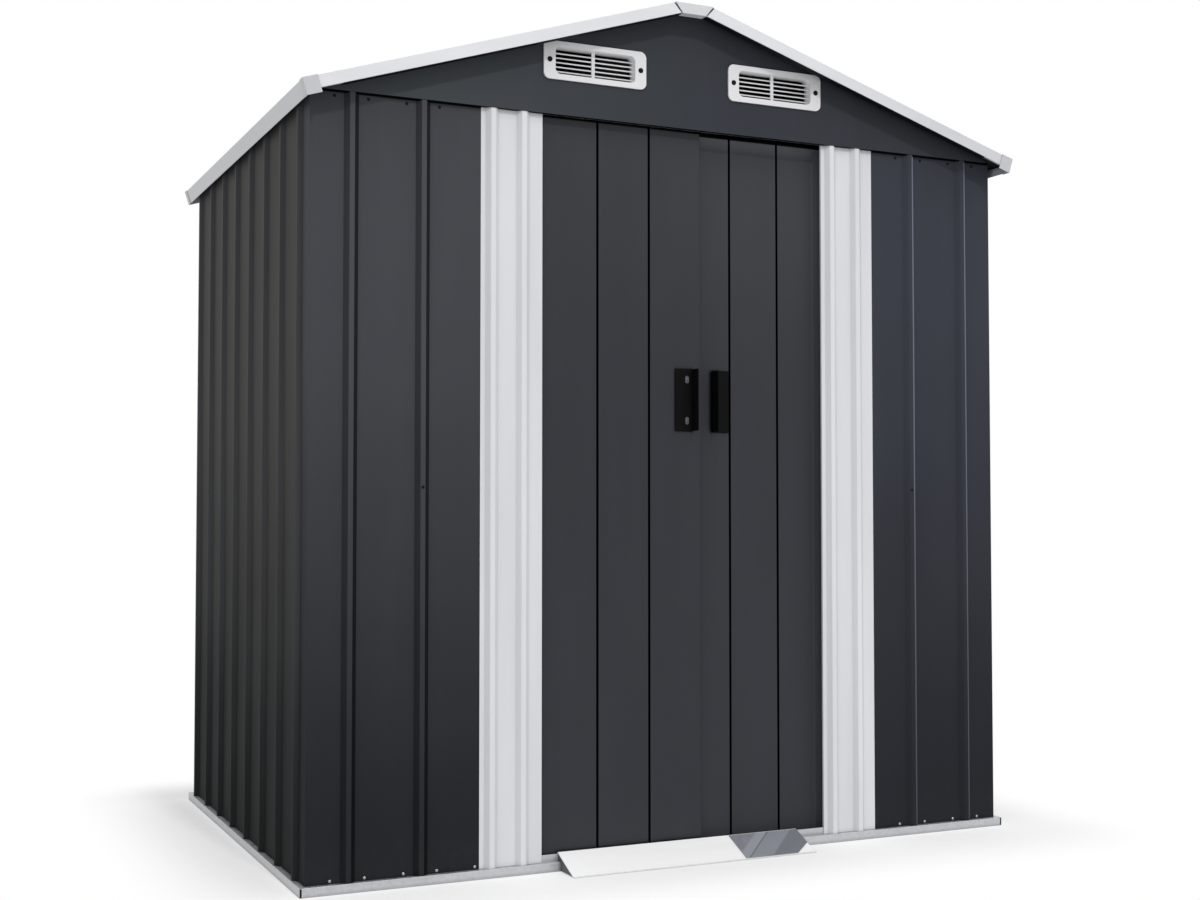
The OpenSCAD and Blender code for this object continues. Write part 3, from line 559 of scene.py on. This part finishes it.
# The corner caps get a darker copy of the cap plastic: painted shade.
corner_plastic = moulded("White cap plastic, corners", "c8c9cd", "8a8b8f", "d8d9db", 0.42)
handle_coat = moulded("Black handle coat", "070707", "020202", "141414", 0.7, 0.3, specular=0.1)
slide_plastic = moulded("Black slide nylon", "161617", "060606", "2c2c2d", 0.45)
dark_sealant_and_shadow = moulded("Dark sealant", "151617", "08080a", "222325", 0.6, specular=0.1)
screw_paint = moulded("Dark screw paint", "111214", "040405", "2c2d30", 0.5, specular=0.15)
wall_screw_paint = moulded("Anthracite screw paint", "3a3b3f", "1c1d1f", "55565a", 0.5)
white_screw_paint = moulded("White screw paint", "d9dadd", "8f9094", "ebecee", 0.45)
print("moulded finishes:", vent_plastic.name, cap_plastic.name, slide_plastic.name)

# %% [markdown]
# ## Finishes onto the solids
#
# Every solid arrives with a material slot named after its finish. The table gives each slot its
# material, and a second one names the pieces that get a lighter or darker copy of a finish instead,
# which paints the light and shade that fall on them.

# %% Dress the solids
finish_of_slot = {
    "wall_sheet": wall_paint, "door_sheet": door_paint, "roof_sheet": roof_paint,
    "white_sheet": white_paint, "white_trim": trim_paint, "vent_plastic": vent_plastic,
    "cap_plastic": cap_plastic, "zinc_frame": zinc_rail, "ramp_sheet": ramp_paint,
    "grey_plate": plate_reflection_paint, "handle_black": handle_coat, "slide_plastic": slide_plastic,
}
lit_and_shaded_copies = {
    "front_panel_right": right_panel_paint, "gable_front": gable_paint, "gable_back": gable_paint,
    "door_leaf_right": rear_door_paint, "eave_trim_left": eave_paint,
    "eave_trim_right": eave_paint, "corner_caps": corner_plastic,
}
lit_and_shaded_copies |= {name: side_paint for name in nodes if name.startswith("side_panel")}

for name, node in nodes.items():
    for slot in node.material_slots:
        slot.material = lit_and_shaded_copies.get(name, finish_of_slot[slot.material.name.split(".")[0]])
print("solids dressed:", len(nodes), "with", len(finish_of_slot), "finishes")

# %% [markdown]
# ## Screws
#
# A shed like this goes together with short self-tapping screws: a low round head with a cross
# recess. At this size a bump map would not hold up in a close view, so one head is modelled: a
# turned dome, with the cross cut out of it by a boolean. Every other screw is a copy of it.


# %% Model one screw head
def dome(mesh, radius, height, segments=14):
    """A low round head, turned from its profile."""
    profile = [(1.0, 0.0), (1.0, 0.32), (0.9, 0.62), (0.68, 0.86), (0.36, 0.98)]
    rings = []
    for share, rise in profile:
        angles = [2 * math.pi * i / segments for i in range(segments)]
        rings.append([mesh.verts.new((radius * share * math.cos(a), radius * share * math.sin(a),
                                      height * rise)) for a in angles])
    for low, high in zip(rings, rings[1:]):
        for i in range(segments):
            j = (i + 1) % segments
            mesh.faces.new((low[i], low[j], high[j], high[i]))
    mesh.faces.new(rings[-1])
    mesh.faces.new(list(reversed(rings[0])))


def cross_cutter(mesh, length, width, low, high):
    """Two bars across each other, to be cut out of a head."""
    lift = Matrix.Translation((0, 0, (low + high) / 2))
    for size in ((length, width), (width, length)):
        shape = lift @ Matrix.Diagonal((*size, high - low, 1))
        bmesh.ops.create_cube(mesh, size=1.0, matrix=shape)


def object_from(mesh, name):
    """A Blender object from a mesh under construction."""
    data = bpy.data.meshes.new(name)
    bmesh.ops.recalc_face_normals(mesh, faces=mesh.faces)
    mesh.to_mesh(data)
    mesh.free()
    obj = bpy.data.objects.new(name, data)
    scene.collection.objects.link(obj)
    return obj


screw_radius = 0.0046
screw_rise = 0.0026
cross_length, cross_width = 1.1 * screw_radius, 0.26 * screw_radius
cross_foot, cross_top = 0.4 * screw_rise, 1.4 * screw_rise
head_mesh = bmesh.new()
dome(head_mesh, screw_radius, screw_rise)
head = object_from(head_mesh, "head")
cutter_mesh = bmesh.new()
cross_cutter(cutter_mesh, cross_length, cross_width, cross_foot, cross_top)
cutter = object_from(cutter_mesh, "cutter")
cut = head.modifiers.new("cross", "BOOLEAN")
cut.object = cutter
cut.operation = "DIFFERENCE"
cut.solver = "EXACT"
cut.use_self = True
bpy.context.view_layer.update()
evaluated = head.evaluated_get(bpy.context.evaluated_depsgraph_get())
screw_shape = bpy.data.meshes.new_from_object(evaluated)
bpy.data.objects.remove(head)
bpy.data.objects.remove(cutter)
print("screw head:", len(screw_shape.vertices), "points,", len(screw_shape.polygons), "faces")

# %% [markdown]
# A screw has to sit on its sheet, whatever the sheet's shape. A ray from outside finds the point
# and the direction of the surface, and the copy is turned to stand on it. Each copy gets its own
# turn of the cross, from a seeded random source, because nobody lines up screws.

# %% Put screws on a surface
turns = random.Random(11)
sunk = 0.0002
surface_of = {name: BVHTree.FromPolygons([v.co for v in node.data.vertices],
                                         [p.vertices[:] for p in node.data.polygons])
              for name, node in nodes.items()}


def seat(name, start, towards):
    """Where a ray meets a solid: the point and the direction away from it."""
    point, normal, _, _ = surface_of[name].ray_cast(Vector(start), Vector(towards).normalized())
    if point is None:
        raise ValueError(f"no surface of {name} from {start}")
    return point, normal if normal.dot(Vector(towards)) < 0 else -normal


def add_piece(mesh, name, body, material):
    """A finished mesh as a piece that rides on one of the shed's bodies."""
    piece = object_from(mesh, name)
    piece.data.materials.append(material)
    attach(piece, body)


def screws(name, spots, body, material, size=1.0):
    """One piece of screws, a head at each spot."""
    mesh = bmesh.new()
    for point, normal in spots:
        turn = Matrix.Rotation(turns.uniform(0, math.pi), 4, "Z")
        stand = normal.to_track_quat("Z", "Y").to_matrix().to_4x4()
        move = Matrix.Translation(point - normal * sunk) @ stand @ turn @ Matrix.Scale(size, 4)
        copy = screw_shape.copy()
        copy.transform(move)
        mesh.from_mesh(copy)
        bpy.data.meshes.remove(copy)
    add_piece(mesh, name, body, material)
    print(name, "-", len(spots), "screws")


# %% [markdown]
# The wall screws stand a thumb's width beside the ribs: a row at the foot, into the base rail,
# and a row at the head, into the upper frame or gable. A few more go through the ribs into the
# brace at half height. The ribs are found from the sheets themselves, so the rows follow if the
# walls change.

# %% Wall screws
rib_side = 0.038
foot_up = 0.006
head_down = 0.011
mid_height = 0.864
sheet_edge = 0.01
wall_screw_size = 0.75
far = 3.0


def rib_lines(name, along, out_axis, out_sign):
    """The middles of a sheet's ribs, from the points on its outermost plane."""
    points = [v.co for v in nodes[name].data.vertices]
    outermost = max(out_sign * p[out_axis] for p in points)
    proud_points = [p for p in points if out_sign * p[out_axis] > outermost - 1e-4]
    marks = sorted({round(p[along], 4) for p in proud_points})
    return [(a + b) / 2 for a, b in zip(marks[::2], marks[1::2])]


def wall_spots(sheets, out_axis, out_sign, height, offsets, every=1):
    """Seats on a wall's sheets at one height, beside or on every rib or every second one."""
    along = 1 - out_axis
    towards = [0.0, 0.0, 0.0]
    towards[out_axis] = -out_sign
    spots = []
    for name in sheets:
        low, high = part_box(name)
        for line in rib_lines(name, along, out_axis, out_sign)[::every]:
            for place in [line + offset for offset in offsets]:
                if low[along] + sheet_edge < place < high[along] - sheet_edge:
                    start = [0.0, 0.0, height]
                    start[along] = place
                    start[out_axis] = out_sign * far
                    spots.append(seat(name, start, towards))
    return spots


foot_z, head_z = panel_low.z + foot_up, panel_high.z - head_down
front = (["front_panel_left", "front_panel_right"], 1, -1)
other_walls = {
    "left": (["side_panel_left_front", "side_panel_left_rear"], 0, -1),
    "right": (["side_panel_right_front", "side_panel_right_rear"], 0, 1),
    "back": (["back_panel_left", "back_panel_middle", "back_panel_right"], 1, 1),
}
both_sides = [-rib_side, rib_side]
lap_spot = seat("front_panel_left", (panel_high.x - sheet_edge, -far, foot_z), (0, 1, 0))
screws("foot_screws_front", wall_spots(*front, foot_z, both_sides) + [lap_spot], "shed",
       zinc_screw, wall_screw_size)
screws("head_screws_front", wall_spots(*front, head_z, both_sides), "shed",
       screw_paint, wall_screw_size)
inner_ribs = [seat(name, (rib_lines(name, 0, 1, -1)[end], -far, mid_height), (0, 1, 0))
              for name, end in (("front_panel_left", -1), ("front_panel_right", 0))]
screws("brace_screws_front", inner_ribs, "shed", screw_paint, wall_screw_size)
for wall, sheet_row in other_walls.items():
    foot_spots = wall_spots(*sheet_row, foot_z, [rib_side], 2)
    screws(f"foot_screws_{wall}", foot_spots, "shed", zinc_screw, wall_screw_size)
    upper_spots = wall_spots(*sheet_row, head_z, [rib_side], 2)
    upper_spots += wall_spots(*sheet_row, mid_height, [0.0], 2)
    screws(f"wall_screws_{wall}", upper_spots, "shed", wall_screw_paint,
           wall_screw_size)

# %% [markdown]
# The vents are held by a dark screw at each end. The handles are held by two screws in slots, so
# that they can be shifted until the doors meet. A dull washer with rounded ends fills each slot,
# and screws and washers ride on their door. A washer is an outline thickened by a shift.


# %% Vent and handle screws
def slab(mesh, outline, shift):
    """A flat piece: an outline in space, thickened by a shift."""
    near = [mesh.verts.new(point) for point in outline]
    away = [mesh.verts.new(Vector(point) + Vector(shift)) for point in outline]
    mesh.faces.new(near)
    mesh.faces.new(list(reversed(away)))
    for i in range(len(outline)):
        mesh.faces.new((near[i - 1], away[i - 1], away[i], near[i]))


def long_hole(middle, width, length, steps=8):
    """The outline of an upright slot with round ends."""
    points = []
    for end, first in ((1, 0.0), (-1, math.pi)):
        for i in range(steps + 1):
            turn = first + math.pi * i / steps
            up = end * (length - width) / 2 + width / 2 * math.sin(turn)
            points.append(middle + Vector((width / 2 * math.cos(turn), 0.0, up)))
    return points


vent_edge, vent_screw_size = 0.0145, 1.35
slot_in, slot_half_gap, handle_screw_size = 0.014, 0.049, 0.85
washer_width, washer_length, washer_rise = 0.0104, 0.0184, 0.0009
vent_spots = []
for name in ("vent_left", "vent_right"):
    low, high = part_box(name)
    for x in (low.x + vent_edge, high.x - vent_edge):
        vent_spots.append(seat(name, (x, -far, (low.z + high.z) / 2), (0, 1, 0)))
screws("vent_screws", vent_spots, "shed", screw_paint, vent_screw_size)

for side in ("left", "right"):
    low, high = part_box(f"door_handle_{side}")
    x = high.x - slot_in if side == "left" else low.x + slot_in
    middle = (low.z + high.z) / 2
    handle_spots = [seat(f"door_leaf_{side}", (x, -far, middle + up), (0, 1, 0))
                    for up in (-slot_half_gap, slot_half_gap)]
    washers = bmesh.new()
    for point, _ in handle_spots:
        outline = long_hole(point, washer_width, washer_length)
        slab(washers, outline, (0.0, -washer_rise, 0.0))
    add_piece(washers, f"handle_washers_{side}", f"{side}_door", dull_zinc_and_shadow)
    on_washers = [(point + washer_rise * normal, normal) for point, normal in handle_spots]
    screws(f"handle_screws_{side}", on_washers, f"{side}_door", dull_zinc_and_shadow,
           handle_screw_size)

# %% [markdown]
# The roof's trims are screwed down between the roof ribs, with white heads to match: through the
# ridge cap, through the side trims over the eaves and through the front and back trims. A ray
# straight down finds the sloping surface.

# %% Roof screws
cap_edge = 0.012
eave_in = 0.014
rake_in = 0.025
rake_step, rake_screws = 0.29, 3
roof_screw_size = 0.8
roof_low, roof_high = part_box("roof_panel_left")
bays = 8
bay_lines = [roof_low.y + (roof_high.y - roof_low.y) * (i + 0.5) / bays for i in range(bays)]
down = (0, 0, -1)
cap_low, cap_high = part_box("ridge_cap")
ridge_spots = [seat("ridge_cap", (x, y, far), down) for y in bay_lines
               for x in (cap_low.x + cap_edge, cap_high.x - cap_edge)]
screws("ridge_screws", ridge_spots, "shed", white_screw_paint, roof_screw_size)
eave_spots = []
rake_spots = []
for side, sign in (("left", -1), ("right", 1)):
    low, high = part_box(f"eave_trim_{side}")
    x = low.x + eave_in if sign < 0 else high.x - eave_in
    eave_spots += [seat(f"eave_trim_{side}", (x, y, far), down) for y in bay_lines]
    for end in ("front", "back"):
        low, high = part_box(f"rake_trim_{end}_{side}")
        y = low.y + rake_in if end == "front" else high.y - rake_in
        rake_spots += [seat(f"rake_trim_{end}_{side}", (sign * rake_step * (i + 0.5), y, far), down)
                       for i in range(rake_screws)]
screws("eave_screws", eave_spots, "shed", white_screw_paint, roof_screw_size)
screws("rake_screws", rake_spots, "shed", white_screw_paint, roof_screw_size)

# %% [markdown]
# A thin dark strip along the cap's slanting sides, on the face of the trims, paints the shadow
# line beside the cap at each end of the ridge: a painted shadow.

# %% Painted shadow strips beside the peak caps
thin_strip_width, peak_strip_rise = 0.0034, 0.0005
cap_sheet = 0.0014
peak_low, peak_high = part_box("peak_caps")
peak_points = [v.co for v in nodes["peak_caps"].data.vertices]
peak_foot = max(p.x for p in peak_points if p.z < peak_low.z + 1e-4)
peak_strip_top, peak_strip_foot = peak_high.z - 2 * cap_sheet, peak_low.z + cap_sheet
peak_strip_sides = [(peak_high.x, peak_strip_top), (peak_high.x + thin_strip_width, peak_strip_top),
              (peak_foot + thin_strip_width, peak_strip_foot), (peak_foot, peak_strip_foot)]
peak_strips = bmesh.new()
for y, outward in ((peak_low.y + cap_sheet, -peak_strip_rise), (peak_high.y - cap_sheet, peak_strip_rise)):
    for sign in (-1, 1):
        slab(peak_strips, [(sign * x, y, z) for x, z in peak_strip_sides], (0.0, outward, 0.0))
add_piece(peak_strips, "peak_shadow_strips", "shed", dark_sealant_and_shadow)
print("peak_shadow_strips - 4 beads")

# %% [markdown]
# A black strip under the sloping trims' lower lips paints the dark shadow line that shows under
# the white from below: a painted shadow. It stops short of the gable and of the vents, and clear of
# the caps. Each strip is a slab between two points of the trim's lower edge.

# %% Painted shadow strips under the trims
strip_face, strip_depth, strip_rise = 0.0012, 0.018, 0.0015
strip_start, strip_stop = 0.037, 0.94
strip_gap = Vector((0.0, 0.0, 0.0003))
shadow_strip = bmesh.new()
for end, inward in (("front", Vector((0.0, 1.0, 0.0))), ("back", Vector((0.0, -1.0, 0.0)))):
    for side in ("left", "right"):
        corners = [v.co for v in nodes[f"rake_trim_{end}_{side}"].data.vertices]
        face_y = min((p.y for p in corners), key=lambda y: y * inward.y)
        eave = min(corners, key=lambda p: p.z)
        middle_x = min((p.x for p in corners), key=abs)
        crown = min((p for p in corners if abs(p.x - middle_x) < 0.001), key=lambda p: p.z)
        crown, eave = (Vector((p.x, face_y, p.z)) - strip_gap for p in (crown, eave))
        face, back = strip_face * inward, strip_depth * inward
        start, stop = crown.lerp(eave, strip_start), crown.lerp(eave, strip_stop)
        outline = [start + face, stop + face, stop + back, start + back]
        slab(shadow_strip, outline, (0.0, 0.0, -strip_rise))
        print(f"foam under the {end} {side} trim:", round((stop - start).length, 3), "m")
add_piece(shadow_strip, "under_trim_shadow_strips", "shed", dark_sealant_and_shadow)

# %% [markdown]
# The base rails meet in mitred corners, and from the front the joint shows as a dark upright line.
# It is a thin strip on the front rail's face at each end, as wide as the peak's shadow strips.

# %% Base rail joints
joint_foot, joint_top, joint_rise = 0.001, 0.019, 0.0004
rail_low, rail_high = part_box("base_rail_front")
low_z, high_z = rail_low.z + joint_foot, rail_low.z + joint_top
joints = bmesh.new()
for end_x, inner_x in ((rail_low.x, rail_low.x + thin_strip_width),
                       (rail_high.x, rail_high.x - thin_strip_width)):
    corners = [(end_x, low_z), (inner_x, low_z), (inner_x, high_z), (end_x, high_z)]
    slab(joints, [(x, rail_low.y, z) for x, z in corners], (0.0, -joint_rise, 0.0))
add_piece(joints, "base_rail_joints", "shed", dark_sealant_and_shadow)
print("base_rail_joints - 2 strips")

# %% [markdown]
# A small dark plate closes each end of the ramp and paints the shadow under its open end: a painted
# shadow. It fills the room between the ground, the base rail with its ledge and the ramp's
# underside.

# %% Ramp ends, dark plates of painted shadow
ramp_head, ramp_foot, ramp_sheet = 0.037, 0.007, 0.0015
ledge_z, rail_reach, end_in, toe_in, room = 0.02, 0.0152, 0.001, 0.005, 0.0006
ramp_low, ramp_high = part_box("ramp")
toe_y, head_y = ramp_low.y + ramp_foot, ramp_high.y - ramp_sheet


def below_ramp(y):
    """The height just under the ramp's sheet."""
    return ramp_head * (y - toe_y) / (head_y - toe_y) - 2 * room


near_y, ledge_y = toe_y + toe_in, rail_low.y - room
far_y = rail_low.y + rail_reach - 2 * room
profile = [(near_y, room), (ledge_y, room), (ledge_y, ledge_z + room), (far_y, ledge_z + room),
           (far_y, below_ramp(far_y)), (near_y, below_ramp(near_y))]
plates = bmesh.new()
for x, shift in ((ramp_low.x + end_in, ramp_sheet), (ramp_high.x - end_in, -ramp_sheet)):
    slab(plates, [(x, y, z) for y, z in profile], (shift, 0.0, 0.0))
add_piece(plates, "ramp_end_shadow_plates", "shed", dull_zinc_and_shadow)
print("ramp_end_shadow_plates - 2 plates")

# %% [markdown]
# ## The studio
#
# A product picture stands on a pale floor that runs into a white background. The floor is an
# ordinary matt surface close to the shed, where it has to take the shadow, and turns into plain
# white further out. Only what the camera sees, directly or in a reflection, is white: the light
# that reaches the shed comes from two distant softboxes and an even surrounding glow. The narrow
# key in front draws the shadow of the roof's edge on the gable, and the wide one overhead lights
# the ramp and the floor. Distant lamps light the wall's foot and head alike.


# %% Floor, background and light
def seen_directly(tree):
    """1 for rays from the camera, from mirrors and through glass, and 0 for the rest."""
    rays = add(tree, "LightPath").outputs
    some = calc(tree, "MAXIMUM", rays["Is Camera Ray"], rays["Is Glossy Ray"])
    return calc(tree, "MAXIMUM", some, rays["Is Transmission Ray"])


def beyond(tree, value, low, high):
    """How far a coordinate lies outside a stretch, in metres."""
    middle, half = (low + high) / 2, (high - low) / 2
    offset = calc(tree, "ABSOLUTE", calc(tree, "SUBTRACT", value, middle))
    return calc(tree, "MAXIMUM", calc(tree, "SUBTRACT", offset, half), 0.0)


floor_half = 40.0
floor_drop = 0.0006
fade_start, fade_end, white_at_shed = 0.02, 0.32, 0.35
floor_mesh = bmesh.new()
bmesh.ops.create_grid(floor_mesh, x_segments=1, y_segments=1, size=floor_half,
                      matrix=Matrix.Translation((0, 0, -floor_drop)))
floor = object_from(floor_mesh, "studio_floor")
floor_material, tree, shader, place = finish("Studio floor", 0.9, 0.1)
direct = seen_directly(tree)
floor_colour = blend(tree, direct, colour("e8e8e8"), colour("ffffff"))
tree.links.new(floor_colour, shader.inputs["Base Color"])
ground = add(tree, "SeparateXYZ", {0: place}).outputs
aside = [beyond(tree, ground[axis], cad_low[i], cad_high[i]) for i, axis in enumerate("XY")]
squares = [calc(tree, "MULTIPLY", a, a) for a in aside]
distance = calc(tree, "SQRT", calc(tree, "ADD", *squares))
away = spread(tree, distance, fade_start, fade_end, white_at_shed, 1.0, smooth=True)
glow = add(tree, "Emission", {"Strength": 1.0}).outputs[0]
share = calc(tree, "MULTIPLY", away, direct)
mixed = add(tree, "MixShader", {0: share, 1: shader.outputs[0], 2: glow}).outputs[0]
tree.links.new(mixed, tree.nodes["Material Output"].inputs["Surface"])
floor.data.materials.append(floor_material)

surround_strength = 0.58
world = bpy.data.worlds.new("Studio surround")
scene.world = world
world.use_nodes = True
sky = world.node_tree
background = sky.nodes["Background"]
background.inputs["Color"].default_value = (1.0, 1.0, 1.0, 1.0)
strength = spread(sky, seen_directly(sky), 0.0, 1.0, surround_strength, 1.0)
sky.links.new(strength, background.inputs["Strength"])


def softbox(name, light_from, power, spread_degrees):
    """A distant softbox: a sun lamp as wide as the box looks from the shed."""
    data = bpy.data.lights.new(name, "SUN")
    data.energy = power
    data.angle = math.radians(spread_degrees)
    lamp = bpy.data.objects.new(name, data)
    lamp.rotation_euler = (-Vector(light_from)).to_track_quat("-Z", "Y").to_euler()
    scene.collection.objects.link(lamp)
    print(name, "at power", power, "and", spread_degrees, "degrees wide")


softbox("key_softbox", light_from=(0.06, -0.755, 0.612), power=0.73, spread_degrees=4.0)
softbox("overhead_softbox", light_from=(0.0, -0.35, 0.94), power=0.75, spread_degrees=40.0)
